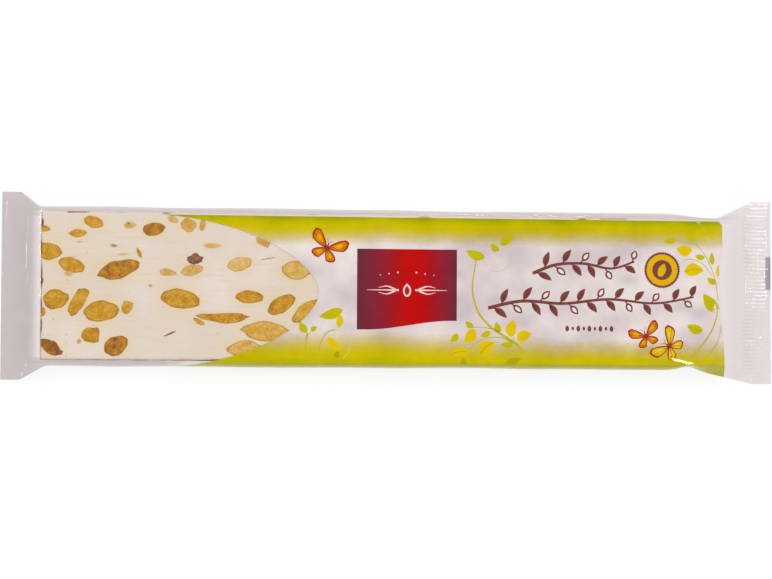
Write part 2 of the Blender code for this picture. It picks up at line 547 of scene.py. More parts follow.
def knife_cut(point):
    """The place of one point of the box once it is rounded and roughened."""
    inner = Vector(
        [min(max(point[i], BAR_LOW[i] + EDGE_ROUNDING), BAR_HIGH[i] - EDGE_ROUNDING) for i in range(3)]
    )
    outward = (point - inner).normalized()
    place = inner + outward * EDGE_ROUNDING
    coarse = noise.fractal(place / (6 * MM), 0.6, 2.1, 3)
    fine = noise.noise(place / (1.6 * MM))
    push = 0.015 * abs(outward.z) + 0.10 * abs(outward.y) + 0.42 * abs(outward.x)
    return place + outward * (push * (coarse + 0.35 * fine) - 0.3 * push) * MM


def oil_stain(point, almonds):
    """How much almond oil has soaked into the nougat here: most beside an almond."""
    near = 0.0
    if point[2] > BAR_HIGH.z - 0.5 * MM:
        for (x, y), (length, width), veil in almonds:
            if abs(point[0] - x) < length and abs(point[1] - y) < length:
                gap = ((point[0] - x) / (0.60 * length)) ** 2 + ((point[1] - y) / (0.72 * width)) ** 2
                near = max(near, math.exp(-gap))
    return near


def build_nougat(material, almonds):
    lines = [lines_across(BAR_LOW[i], BAR_HIGH[i], step * MM) for i, step in enumerate((0.9, 0.8, 1.2))]
    bm = bmesh.new()
    for axis in range(3):
        first, second = [lines[i] for i in range(3) if i != axis]
        box_side(bm, first, second, axis, BAR_LOW[axis])
        box_side(bm, first, second, axis, BAR_HIGH[axis])
    bmesh.ops.remove_doubles(bm, verts=bm.verts, dist=0.001 * MM)
    for vertex in bm.verts:
        vertex.co = knife_cut(vertex.co)
    bmesh.ops.recalc_face_normals(bm, faces=bm.faces)
    bm.verts.ensure_lookup_table()
    points = [vertex.co.copy() for vertex in bm.verts]
    faces = [tuple(vertex.index for vertex in face.verts) for face in bm.faces]
    bm.free()
    oil = [oil_stain(point, almonds) for point in points]
    # Painted shade: how far a point lies on the bar's left end face, which the material darkens.
    ends = [min(1, max(0, (BAR_LOW.x + 0.7 * MM - point[0]) / (0.5 * MM))) for point in points]
    return add_piece("nougat", points, faces, material, {"oil": oil, "end": ends})


# %% [markdown]
# ## Nougat as a material
#
# Soft nougat is honey and sugar beaten with egg white: a fine foam, cream-white, faintly warm where
# honey and almond oil have spread. Light goes a little way into it, so it has a thin share of
# subsurface. The knife leaves long faint streaks along the bar, drawn by noise stretched along x,
# and here and there a crumb of almond or skin no bigger than a grain of sand.


# %% Nougat
def nougat_material():
    material, tree, output = new_material("soft_nougat_knife_cut")
    where = add_node(tree, "ShaderNodeTexCoord").outputs["Object"]
    clouds = add_node(tree, "ShaderNodeTexNoise", {"Vector": where, "Scale": 1 / (26 * MM), "Detail": 3.0})
    paste = add_node(tree, "ShaderNodeValToRGB", {"Fac": clouds.outputs["Fac"]})
    fill_ramp(paste, [(0.30, "#DDD5C2"), (0.50, "#DED7C9"), (0.70, "#E3DED6")])
    stretched = add_node(
        tree, "ShaderNodeMapping",
        {
            "Vector": where,
            "Scale": (1 / (9 * MM), 1 / (0.9 * MM), 1 / (0.9 * MM)),
            "Rotation": (0, 0, 0.16),
        },
    )
    streaks = add_node(
        tree, "ShaderNodeTexNoise", {"Vector": stretched.outputs["Vector"], "Scale": 1.0, "Detail": 4.0}
    )
    streak_share = add_node(
        tree, "ShaderNodeMapRange",
        {"Value": streaks.outputs["Fac"], "From Min": 0.52, "From Max": 0.74, "To Min": 0.0, "To Max": 0.38},
    )
    streaked = add_node(
        tree, "ShaderNodeMix",
        {0: streak_share.outputs["Result"], 6: paste.outputs["Color"], 7: srgb("#D3C49C")}, data_type="RGBA",
    )
    oil = add_node(tree, "ShaderNodeAttribute", attribute_name="oil")
    oil_share = add_node(tree, "ShaderNodeMath", {0: oil.outputs["Fac"], 1: 0.75}, operation="MULTIPLY")
    oiled = add_node(
        tree, "ShaderNodeMix",
        {0: oil_share.outputs["Value"], 6: streaked.outputs[2], 7: srgb("#E2CE96")}, data_type="RGBA",
    )
    # Painted shade: the bar's left end face is darkened to grey-olive.
    end = add_node(tree, "ShaderNodeAttribute", attribute_name="end")
    painted_end_shade_share = add_node(tree, "ShaderNodeMath", {0: end.outputs["Fac"], 1: 0.8}, operation="MULTIPLY")
    end_with_painted_shade = add_node(
        tree, "ShaderNodeMix",
        {0: painted_end_shade_share.outputs["Value"], 6: oiled.outputs[2], 7: srgb("#B4AC94")}, data_type="RGBA",
    )
    grains = add_node(tree, "ShaderNodeTexVoronoi", {"Vector": where, "Scale": 1 / (2.6 * MM)})
    crumb = add_node(
        tree, "ShaderNodeMapRange",
        {
            "Value": grains.outputs["Distance"],
            "From Min": 0.06,
            "From Max": 0.16,
            "To Min": 0.65,
            "To Max": 0.0,
        },
    )
    rare = add_node(tree, "ShaderNodeSeparateColor", {"Color": grains.outputs["Color"]})
    few = add_node(tree, "ShaderNodeMath", {0: rare.outputs["Red"], 1: 0.80}, operation="GREATER_THAN")
    crumbs = add_node(
        tree, "ShaderNodeMath", {0: crumb.outputs["Result"], 1: few.outputs["Value"]}, operation="MULTIPLY"
    )
    speckled = add_node(
        tree, "ShaderNodeMix",
        {0: crumbs.outputs["Value"], 6: end_with_painted_shade.outputs[2], 7: srgb("#B99350")}, data_type="RGBA",
    )
    foam = add_node(tree, "ShaderNodeTexNoise", {"Vector": where, "Scale": 1 / (0.9 * MM), "Detail": 2.0})
    relief = add_node(tree, "ShaderNodeMix", {0: 0.35, 2: streaks.outputs["Fac"], 3: foam.outputs["Fac"]})
    bump = add_node(
        tree, "ShaderNodeBump", {"Height": relief.outputs[0], "Strength": 0.25, "Distance": 0.12 * MM},
    )
    shader = add_node(
        tree, "ShaderNodeBsdfPrincipled",
        {
            "Base Color": speckled.outputs[2],
            "Roughness": 0.55,
            "IOR": 1.48,
            "Specular IOR Level": 0.3,
            "Subsurface Weight": 0.15,
            "Subsurface Scale": 2 * MM,
            "Normal": bump.outputs["Normal"],
        },
    )
    tree.links.new(shader.outputs["BSDF"], output.inputs["Surface"])
    return material


# %% [markdown]
# ## Cut almonds
#
# The knife goes through the almonds that stand in its way, so what shows is a section: an egg shape
# where it met a kernel across, a lens or a long sliver where it ran along one, and a block where a
# kernel had broken. Each is a plug sunk in the nougat, flush with it, so its outline is sharp. Some lie
# just under the surface and shine through at the middle only: a veil of nougat covers their rim.
# The outline is an ellipse whose sine is raised to a power, which sharpens one or both tips.

# %% Almond sections
AROUND = 30
PLUG_RINGS = [
    # share of the outline, depth in mm, nearness to the rim
    (0.22, 0.0, 0.10), (0.45, 0.0, 0.35), (0.66, 0.0, 0.60), (0.82, 0.0, 0.80), (0.93, 0.0, 0.92),
    (1.00, 0.05, 1.00), (1.00, 0.7, 1.00), (0.86, 1.9, 1.00), (0.45, 2.8, 1.00),
]
SHAPES = {
    # sharpness of the far tip, sharpness of the near tip, squareness, taper, unevenness
    "egg": (0.10, 0.0, 1.0, 0.14, 0.05),
    "lens": (0.75, 0.75, 1.0, 0.05, 0.05),
    "drop": (1.05, 0.05, 1.0, -0.05, 0.05),
    "tail": (0.05, 1.00, 1.0, 0.05, 0.05),
    "block": (0.0, 0.0, 0.66, -0.16, 0.06),
    "sliver": (0.55, 0.20, 0.9, -0.25, 0.08),
}


class Pieces:
    """Points, faces and point values of many small shapes that end up in one mesh."""

    def __init__(self, *names):
        self.points = []
        self.faces = []
        self.values = {name: [] for name in names}

    def add(self, points, faces, **values):
        first = len(self.points)
        self.points.extend(points)
        self.faces.extend(tuple(first + i for i in face) for face in faces)
        for name, numbers in values.items():
            self.values[name].extend(numbers)

    def build(self, name, material, slot):
        return add_piece(name, self.points, self.faces, material, self.values)


def almond_outline(length, width, shape, seed):
    """Points round a section lying along its own first axis."""
    far, near, square, taper, uneven = SHAPES[shape]
    chance = random.Random(seed)
    phases = [chance.uniform(0, 2 * math.pi) for _ in range(4)]
    outline = []
    for index in range(AROUND):
        turn = 2 * math.pi * index / AROUND
        c, s = math.cos(turn), math.sin(turn)
        sharp = mix(near, far, (1 + c) / 2)
        along = math.copysign(abs(c) ** square, c)
        across = math.copysign(abs(s) ** (square + sharp), s) * (1 - taper * c)
        wobble = 1 + uneven * sum(math.sin(k * turn + phase) for k, phase in zip((2, 3, 5, 8), phases)) / 2
        bend = 0.10 * (along * along - 0.4) * (shape == "sliver")
        outline.append((along * wobble * length / 2, (across * wobble + bend * length / width) * width / 2))
    return outline


def plant_almond(pieces, face, place, size, turn, shape, tone, veil, seed):
    """Sink one section into a face of the bar. A face gives a point from its own x, y and depth."""
    outline = almond_outline(*size, shape, seed)
    c, s = math.cos(math.radians(turn)), math.sin(math.radians(turn))
    depth_scale = min(1.0, size[1] / (4.5 * MM))
    points = [face(place[0], place[1], 0.0)]
    rims = [0.0]
    for share, depth, rim in PLUG_RINGS:
        for x, y in outline:
            px = place[0] + share * (c * x - s * y)
            py = place[1] + share * (s * x + c * y)
            points.append(face(px, py, depth * MM * (depth_scale if depth > 0.1 else 1)))
            rims.append(rim)
    points.append(face(place[0], place[1], 3.1 * MM * depth_scale))
    rims.append(1.0)
    last = 1 + (len(PLUG_RINGS) - 1) * AROUND
    faces = [(0, 1 + (i + 1) % AROUND, 1 + i) for i in range(AROUND)]
    faces += grid_faces(len(PLUG_RINGS), AROUND, first=1, closed=True)
    faces += [(last + i, last + (i + 1) % AROUND, len(points) - 1) for i in range(AROUND)]
    count = len(points)
    pieces.add(points, faces, tone=[tone] * count, veil=[veil] * count, rim=rims)
    if face is top_face:
        TOP_ALMONDS.append((place, size, veil))


# %% [markdown]
# ## Where the almonds lie
#
# Behind the clear window the sections are set one by one, because the eye takes in their sizes and
# gaps as a whole. Each row gives the place from the bar's left end and from its middle line, the
# length and width, and the turn, all measured in millimetres and degrees. Tone runs from pale
# straw to brown. On the rest of the top, the sides, the ends and the underside, chance places them,
# and a throw that lands on another almond is thrown again.

# %% Almonds behind the window
STAND_OUT = 0.035 * MM
TOP_ALMONDS = []
WINDOW_ALMONDS = [
    # x, y, length, width, turn, shape, tone, veil
    (20.4, 24.2, 7.9, 4.3, -18, "egg", 0.50, 0.0),
    (14.4, 19.9, 7.0, 3.3, 2, "lens", 0.45, 0.0),
    (43.2, 21.8, 8.7, 5.0, 6, "egg", 0.78, 0.0),
    (34.1, 23.2, 4.6, 2.7, 4, "egg", 0.40, 0.35),
    (3.6, 12.9, 9.6, 6.7, -6, "egg", 0.55, 0.0),
    (12.3, 7.7, 10.4, 5.6, -15, "egg", 0.50, 0.0),
    (11.0, 4.4, 3.6, 2.0, -8, "egg", 0.30, 0.5),
    (29.7, 6.2, 16.8, 7.3, 17, "tail", 0.74, 0.0),
    (37.6, 12.6, 4.3, 1.5, -66, "lens", 0.55, 0.0),
    (6.4, -5.3, 9.7, 7.6, 14, "egg", 0.58, 0.0),
    (14.6, -6.3, 11.8, 4.8, 62, "block", 0.52, 0.0),
    (23.7, -9.7, 13.6, 8.0, 8, "egg", 0.52, 0.0),
    (33.2, -8.2, 4.9, 3.9, 72, "block", 0.50, 0.0),
    (53.7, -4.8, 14.9, 7.6, -8, "egg", 0.52, 0.0),
    (19.6, -18.8, 6.7, 5.9, -4, "block", 0.64, 0.0),
    (29.3, -22.7, 9.9, 7.2, 26, "egg", 0.84, 0.0),
    (15.2, -21.2, 2.0, 1.6, 60, "egg", 0.50, 0.3),
    (4.6, -23.6, 9.6, 5.2, -33, "drop", 0.97, 0.0),
    (69.7, -11.7, 19.6, 3.9, -1, "sliver", 0.62, 0.0),
    (60.6, -13.4, 5.4, 1.9, -30, "drop", 0.55, 0.1),
    (80.0, -3.8, 11.0, 4.9, -3, "egg", 0.60, 0.0),
    (92.2, -6.5, 11.6, 6.3, 31, "egg", 0.60, 0.0),
    (101.1, -9.0, 13.2, 5.3, 42, "drop", 0.40, 0.0),
    (85.9, -16.8, 19.6, 7.8, -3, "lens", 0.24, 0.0),
    (77.7, -23.5, 14.0, 6.2, 7, "lens", 0.20, 0.0),
    (76.1, 8.8, 9.5, 5.4, 15, "egg", 0.10, 0.1),
    (97.7, 6.6, 12.4, 7.2, -6, "lens", 0.20, 0.0),
    (84.9, 17.4, 5.8, 2.9, -24, "block", 0.42, 0.1),
    (65.3, 15.7, 7.0, 2.0, 0, "lens", 0.30, 0.3),
    (57.9, 6.3, 9.0, 4.4, 14, "drop", 0.38, 0.22),
    (48.6, 5.3, 6.6, 2.9, -4, "egg", 0.50, 0.3),
    (56.2, 23.6, 5.6, 5.0, -35, "block", 0.36, 0.1),
    (61.6, 23.4, 4.2, 2.3, 78, "block", 0.50, 0.2),
    (50.4, 25.6, 4.4, 2.6, -20, "egg", 0.40, 0.3),
    (1.4, 21.6, 5.6, 2.4, -6, "drop", 0.62, 0.0),
    (1.3, -10.2, 3.6, 2.3, 80, "egg", 0.60, 0.0),
    (42.0, 0.2, 1.4, 1.2, 0, "egg", 0.45, 0.3),
    (28.1, 15.3, 3.6, 1.3, -6, "egg", 0.98, 0.7),
    (31.4, 12.0, 5.0, 0.9, 3, "lens", 0.45, 0.75),
    (15.0, 16.6, 3.2, 0.7, 5, "lens", 0.45, 0.8),
]


def bar_face(axis, side):
    """One face of the bar, as a function of the two places on it and the depth below it."""
    others = [i for i in range(3) if i != axis]
    stand_out = STAND_OUT * (3 if axis == 0 else 1)
    start = BAR_HIGH[axis] + stand_out if side > 0 else BAR_LOW[axis] - stand_out
    inset = 0.12 * MM

    def point(first, second, depth):
        place = [0.0, 0.0, 0.0]
        for other, value in zip(others, (first, second)):
            place[other] = min(max(value, BAR_LOW[other] + inset), BAR_HIGH[other] - inset)
        place[axis] = start - side * depth
        return place

    return point


top_face = bar_face(2, 1)
underside_face = bar_face(2, -1)
back_face, front_face = bar_face(1, 1), bar_face(1, -1)
left_face, right_face = bar_face(0, -1), bar_face(0, 1)


def plant_window_almonds(pieces):
    for seed, (x, y, length, width, turn, shape, tone, veil) in enumerate(WINDOW_ALMONDS):
        place = (BAR_START + x * MM, y * MM)
        size = (length * MM, width * MM)
        plant_almond(pieces, top_face, place, size, turn, shape, tone, veil, seed)


def scatter_almonds(pieces, face, x_range, y_range, count, tilt, longest, seed):
    """Throw almonds on a face until this many lie clear of each other."""
    chance = random.Random(seed)
    taken = []
    for number in range(count * 12):
        if len(taken) == count:
            break
        length = chance.uniform(0.35, 1.0) * longest
        width = min(length * chance.uniform(0.36, 0.72), 8 * MM)
        x, y = chance.uniform(*x_range), chance.uniform(*y_range)
        reach = (length + width) / 4
        turn = chance.gauss(0, tilt)
        shape = chance.choice(["egg", "egg", "lens", "drop", "block", "sliver"])
        tone = chance.betavariate(4, 4)
        veil = chance.choice([0, 0, 0, 0.4, 0.7])
        if any(math.hypot(x - a, y - b) < reach + r + 0.6 * MM for a, b, r in taken):
            continue
        taken.append((x, y, reach))
        plant_almond(pieces, face, (x, y), (length, width), turn, shape, tone, veil, seed * 1000 + number)
    return len(taken)


# %% [markdown]
# ## Almond as a material
#
# A roasted, blanched kernel is golden ochre inside, with a fine crumbly grain where the knife tore
# it. Its rim is darker, browned by the roasting. The three values on the points steer this: tone
# picks the ground colour, rim darkens the edge, and veil hides the edge under nougat. Grain of a
# few tenths of a millimetre comes from noise, with pale flecks from a coarser one.


# %% Almond
def almond_material():
    material, tree, output = new_material("roasted_almond_cut")
    where = add_node(tree, "ShaderNodeTexCoord").outputs["Object"]
    tone = add_node(tree, "ShaderNodeAttribute", attribute_name="tone")
    rim = add_node(tree, "ShaderNodeAttribute", attribute_name="rim")
    veil = add_node(tree, "ShaderNodeAttribute", attribute_name="veil")
    mottle = add_node(
        tree, "ShaderNodeTexNoise",
        {"Vector": where, "Scale": 1 / (3.0 * MM), "Detail": 5.0, "Roughness": 0.68},
    )
    shifted = add_node(
        tree, "ShaderNodeMath", {0: mottle.outputs["Fac"], 1: 1.5, 2: -0.78}, operation="MULTIPLY_ADD",
    )
    toned = add_node(
        tree, "ShaderNodeMath", {0: tone.outputs["Fac"], 1: shifted.outputs["Value"]}, operation="ADD"
    )
    ground = add_node(tree, "ShaderNodeValToRGB", {"Fac": toned.outputs["Value"]})
    fill_ramp(
        ground, [(0.0, "#DEC07A"), (0.25, "#D5AB4C"), (0.5, "#C99A24"), (0.75, "#B17A26"), (1.0, "#85502A")]
    )
    grain = add_node(tree, "ShaderNodeTexNoise", {"Vector": where, "Scale": 1 / (0.55 * MM), "Detail": 2.0})
    grain_share = add_node(
        tree, "ShaderNodeMapRange",
        {"Value": grain.outputs["Fac"], "From Min": 0.52, "From Max": 0.72, "To Min": 0.0, "To Max": 0.55},
    )
    grained = add_node(
        tree, "ShaderNodeMix",
        {0: grain_share.outputs["Result"], 6: ground.outputs["Color"], 7: srgb("#9A6A26")}, data_type="RGBA",
    )
    fleck_share = add_node(
        tree, "ShaderNodeMapRange",
        {"Value": grain.outputs["Fac"], "From Min": 0.30, "From Max": 0.42, "To Min": 0.45, "To Max": 0.0},
    )
    flecked = add_node(
        tree, "ShaderNodeMix",
        {0: fleck_share.outputs["Result"], 6: grained.outputs[2], 7: srgb("#E0C078")}, data_type="RGBA",
    )
    rim_share = add_node(
        tree, "ShaderNodeMapRange",
        {"Value": rim.outputs["Fac"], "From Min": 0.80, "From Max": 1.0, "To Min": 0.0, "To Max": 0.75},
    )
    rimmed = add_node(
        tree, "ShaderNodeMix",
        {0: rim_share.outputs["Result"], 6: flecked.outputs[2], 7: srgb("#9C7228")}, data_type="RGBA",
    )
    inside = add_node(
        tree, "ShaderNodeMapRange",
        {"Value": rim.outputs["Fac"], "From Min": 0.30, "From Max": 0.95, "To Min": 0.35, "To Max": 1.25},
    )
    veil_share = add_node(
        tree, "ShaderNodeMath", {0: inside.outputs["Result"], 1: veil.outputs["Fac"]},
        operation="MULTIPLY", use_clamp=True,
    )
    veiled = add_node(
        tree, "ShaderNodeMix",
        {0: veil_share.outputs["Value"], 6: rimmed.outputs[2], 7: srgb("#DDCDBB")}, data_type="RGBA",
    )
    bump = add_node(
        tree, "ShaderNodeBump", {"Height": grain.outputs["Fac"], "Strength": 0.5, "Distance": 0.15 * MM}
    )
    shader = add_node(
        tree, "ShaderNodeBsdfPrincipled",
        {
            "Base Color": veiled.outputs[2],
            "Roughness": 0.50,
            "IOR": 1.47,
            "Specular IOR Level": 0.15,
            "Subsurface Weight": 0.08,
            "Subsurface Scale": 1 * MM,
            "Normal": bump.outputs["Normal"],
        },
    )
    tree.links.new(shader.outputs["BSDF"], output.inputs["Surface"])
    return material


def build_almonds(material):
    pieces = Pieces("tone", "veil", "rim")
    plant_window_almonds(pieces)
    margin = 3 * MM
    window_end = BAR_START + 116 * MM
    bar_x = (BAR_LOW.x + margin, BAR_HIGH.x - margin)
    bar_y = (BAR_LOW.y + margin, BAR_HIGH.y - margin)
    bar_z = (BAR_LOW.z + 2 * MM, BAR_HIGH.z - 2 * MM)
    counts = [
        scatter_almonds(pieces, top_face, (window_end, bar_x[1]), bar_y, 44, 25, 19 * MM, 1),
        scatter_almonds(pieces, underside_face, bar_x, bar_y, 80, 25, 19 * MM, 2),
        scatter_almonds(pieces, back_face, bar_x, bar_z, 46, 12, 13 * MM, 3),
        scatter_almonds(pieces, front_face, bar_x, bar_z, 46, 12, 13 * MM, 4),
        scatter_almonds(pieces, left_face, bar_y, bar_z, 8, 20, 10 * MM, 5),
        scatter_almonds(pieces, right_face, bar_y, bar_z, 8, 20, 10 * MM, 6),
    ]
    print("almonds thrown on each face:", counts)
    return pieces.build("almonds", material, "almond")


build_almonds(almond_material())
build_nougat(nougat_material(), TOP_ALMONDS)

# %% [markdown]
# ## Flakes of skin
#
# A little brown skin stays on even blanched almonds. It comes off in dry, ragged flakes, which the
# nougat picks up. They are thin plates with a jagged outline: one large one, and a few slivers. Six
# more thin plates lie in a row along the bar's left end, where they draw a dark, ragged line.

# %% Flakes of almond skin
FLAKES = [
    # x, y, length, width, turn, raggedness
    (58.9, 10.3, 5.8, 3.4, 4, 0.22),
    (49.6, -18.1, 4.8, 0.6, 24, 0.10),
    (33.5, 24.0, 1.3, 0.4, -35, 0.15),
    (7.9, -25.6, 2.4, 1.6, -20, 0.25),
    (86.9, 11.0, 6.0, 0.22, 11, 0.05),
    # these six lie in a row at the bar's left end and draw a thin, dark, ragged line along it
    (1.0, 23.6, 3.0, 0.8, 84, 0.30),
    (0.8, 14.2, 5.0, 0.5, 92, 0.30),
    (0.8, 3.4, 9.0, 0.5, 89, 0.20),
    (1.0, 1.6, 2.6, 1.1, 80, 0.30),
    (0.8, -8.0, 6.0, 0.45, 91, 0.30),
    (0.9, -15.6, 5.0, 0.5, 87, 0.30),
]


def skin_material():
    material, tree, output = new_material("almond_skin_dry")
    where = add_node(tree, "ShaderNodeTexCoord").outputs["Object"]
    fibres = add_node(tree, "ShaderNodeTexNoise", {"Vector": where, "Scale": 1 / (0.8 * MM), "Detail": 3.0})
    brown = add_node(tree, "ShaderNodeValToRGB", {"Fac": fibres.outputs["Fac"]})
    fill_ramp(brown, [(0.35, "#7C5440"), (0.55, "#98694B"), (0.75, "#B48A60")])
    shader = add_node(
        tree, "ShaderNodeBsdfPrincipled", {"Base Color": brown.outputs["Color"], "Roughness": 0.7}
    )
    tree.links.new(shader.outputs["BSDF"], output.inputs["Surface"])
    return material


def build_flakes(material):
    pieces = Pieces()
    for seed, (x, y, length, width, turn, ragged) in enumerate(FLAKES):
        chance = random.Random(40 + seed)
        c, s = math.cos(math.radians(turn)), math.sin(math.radians(turn))
        rim = []
        for index in range(22):
            angle = 2 * math.pi * index / 22
            torn = max(0, math.sin(angle)) * (1 + math.sin(5 * angle + seed))
            reach = 1 + ragged * (chance.uniform(-0.5, 0.5) + 1.3 * torn)
            u, v = reach * math.cos(angle) * length / 2, reach * math.sin(angle) * width / 2
            rim.append((BAR_START + (x + c * u - s * v) * MM, (y + s * u + c * v) * MM))
        over = [top_face(px, py, -0.03 * MM) for px, py in rim]
        under = [top_face(px, py, 0.10 * MM) for px, py in rim]
        count = len(rim)
        faces = [tuple(range(count)), tuple(range(2 * count - 1, count - 1, -1))]
        faces += [(i, count + i, count + (i + 1) % count, (i + 1) % count) for i in range(count)]
        pieces.add(over + under, faces)
    return pieces.build("skin_flakes", material, "almond_skin")


build_flakes(skin_material())

# %% [markdown]
# ## The printed field
#
# The film is printed on its inner face before it is wrapped, so the ink has the film's gloss above it
# and the nougat behind it. First comes the field: white ink, with a green band that fades in towards
# either long edge. It starts at the rounded window and wraps over the front side to the seam below.
# Two values on its points say where it is green, and where the ink is greyed by painted shade: a soft
# grey patch over each almond behind it, on faint clouds of the same painted shade.

# %% The printed field
FIELD_LIFT = -0.060 * MM
MOTIF_LIFT = -0.046 * MM
DETAIL_LIFT = -0.033 * MM
TOP_LIFT = -0.020 * MM
PRINT_BACK = 27.4 * MM
PRINT_SEAM = -68 * MM
WINDOW_START = BAR_START + 44.4 * MM
WINDOW_REACH = 62 * MM
WINDOW_MIDDLE = -1.9 * MM
WINDOW_HALF_WIDTH = 29.3 * MM
WINDOW_ROUNDNESS = 1.75
BAND_BACK = 11.6 * MM
BAND_FRONT_START = -15.5 * MM
BAND_FRONT = 14.5 * MM
FRONT_GREENEST = 0.82        # the front band stops short of the back band's darkest green
WINDOW_SIDE = -28.5 * MM
WINDOW_TAIL = [
    # s, and how far the edge stands left of its place on the top, mm
    (-72, -4), (-42, -2), (-35.5, 16), (-28.5, 0),
]
PRINT_END = [
    # s and x of the print's right edge, mm
    (-72, 129.5), (-44, 131.5), (-31.5, 130.7), (-14.9, 129.5), (-3.2, 128.8), (8, 128.1), (16.3, 129.6),
    (26.1, 129.2), (28.2, 126.4),
]


def window_edge(s):
    """Where the print begins: at the window, whose far end comes to a soft point."""
    on_top = np.maximum(s, WINDOW_SIDE)
    across = np.clip(np.abs(on_top - WINDOW_MIDDLE) / WINDOW_HALF_WIDTH, 0, 1)
    bow = WINDOW_REACH * (1 - across ** WINDOW_ROUNDNESS) ** (1 / WINDOW_ROUNDNESS)
    sides, shifts = zip(*WINDOW_TAIL)
    tail = np.interp(s, np.array(sides) * MM, np.array(shifts) * MM)
    return WINDOW_START + bow - tail


def print_end(s):
    """Where the print ends, on the neck by the right fin."""
    sides, ends = zip(*PRINT_END)
    return np.interp(s, np.array(sides) * MM, np.array(ends) * MM)


def greenness(x, s):
    """0 in the white middle, rising to 1 at the back edge of the print and nearly so at the front."""
    drift = 0.9 * MM * ripples(x, 0 * s, 40 * MM, 31) + 0.5 * MM * ripples(x, s, 16 * MM, 32)
    back = 1 - (PRINT_BACK - s + drift) / BAND_BACK
    narrowing = mix(0.3 * MM, 2.6 * MM, smooth((x + 20 * MM) / (90 * MM)))
    front = (BAND_FRONT_START - narrowing - s + drift) / BAND_FRONT
    return np.clip(np.maximum(back, np.minimum(front, FRONT_GREENEST)), 0, 1)


def painted_almond_shade(x, s, almonds):
    """Painted shade in the ink: a soft grey patch over every almond that touches the film behind it, on
    faint clouds.
    """
    shade = 0.25 + 0.35 * ripples(x, s, 24 * MM, 33)
    for (ax, ay), (length, width), veil in almonds:
        gap = ((x - ax) / (0.65 * length)) ** 2 + ((s - ay) / (0.75 * width)) ** 2
        shade = shade + (0.75 - 0.5 * veil) * np.exp(-gap)
    return np.clip(shade, 0, 1)


def build_field(material, almonds):
    shares = np.array(places(0, 0.83, 0.0105) + places(0.83, 1, 0.0036) + [1])
    edge = WINDOW_HALF_WIDTH
    columns = np.array(
        places(PRINT_SEAM, WINDOW_MIDDLE - edge, 0.8 * MM)
        + places(WINDOW_MIDDLE - edge, WINDOW_MIDDLE - edge + 3 * MM, 0.15 * MM)
        + places(WINDOW_MIDDLE - edge + 3 * MM, WINDOW_MIDDLE + edge - 3 * MM, 0.6 * MM)
        + places(WINDOW_MIDDLE + edge - 3 * MM, PRINT_BACK, 0.15 * MM)
        + [PRINT_BACK]
    )
    share, s = np.meshgrid(shares, columns, indexing="ij")
    x = mix(window_edge(s), print_end(s), share)
    points = film_point(x, s, FIELD_LIFT).reshape(-1, 3)
    values = {"green": greenness(x, s).ravel(), "shade": painted_almond_shade(x, s, almonds).ravel()}
    return add_piece("printed_field", points, grid_faces(*x.shape), material, values)


# %% [markdown]
# ## Printing ink as a material
#
# Flexographic ink is pigment in a resin, put down a few thousandths of a millimetre thick. It clings
# to the film without any air between, so it has no shine of its own, and all the gloss is the film's.
# It is never quite even: a roller lays it in faint clouds. Every ink here is the same recipe with its
# own colour.


# %% Printing ink
def finish_ink(tree, output, colour, roughness=0.45):
    """The cloudy coat, the faint relief and the shader that every ink shares."""
    where = add_node(tree, "ShaderNodeTexCoord").outputs["Object"]
    clouds = add_node(tree, "ShaderNodeTexNoise", {"Vector": where, "Scale": 1 / (5 * MM), "Detail": 4.0})
    lightness = add_node(
        tree, "ShaderNodeMapRange",
        {"Value": clouds.outputs["Fac"], "From Min": 0.3, "From Max": 0.7, "To Min": 0.94, "To Max": 1.05},
    )
    coat = add_node(
        tree, "ShaderNodeHueSaturation", {"Color": colour, "Value": lightness.outputs["Result"]},
    )
    bump = add_node(
        tree, "ShaderNodeBump", {"Height": clouds.outputs["Fac"], "Strength": 0.1, "Distance": 0.02 * MM}
    )
    shader = add_node(
        tree, "ShaderNodeBsdfPrincipled",
        {
            "Base Color": coat.outputs["Color"],
            "Roughness": roughness,
            "Specular IOR Level": 0.0,
            "Normal": bump.outputs["Normal"],
        },
    )
    tree.links.new(shader.outputs["BSDF"], output.inputs["Surface"])


def plain_ink(name, colour):
    material, tree, output = new_material("flexographic_ink_" + name)
    swatch = add_node(tree, "ShaderNodeRGB")
    swatch.outputs[0].default_value = srgb(colour)
    finish_ink(tree, output, swatch.outputs[0])
    return material


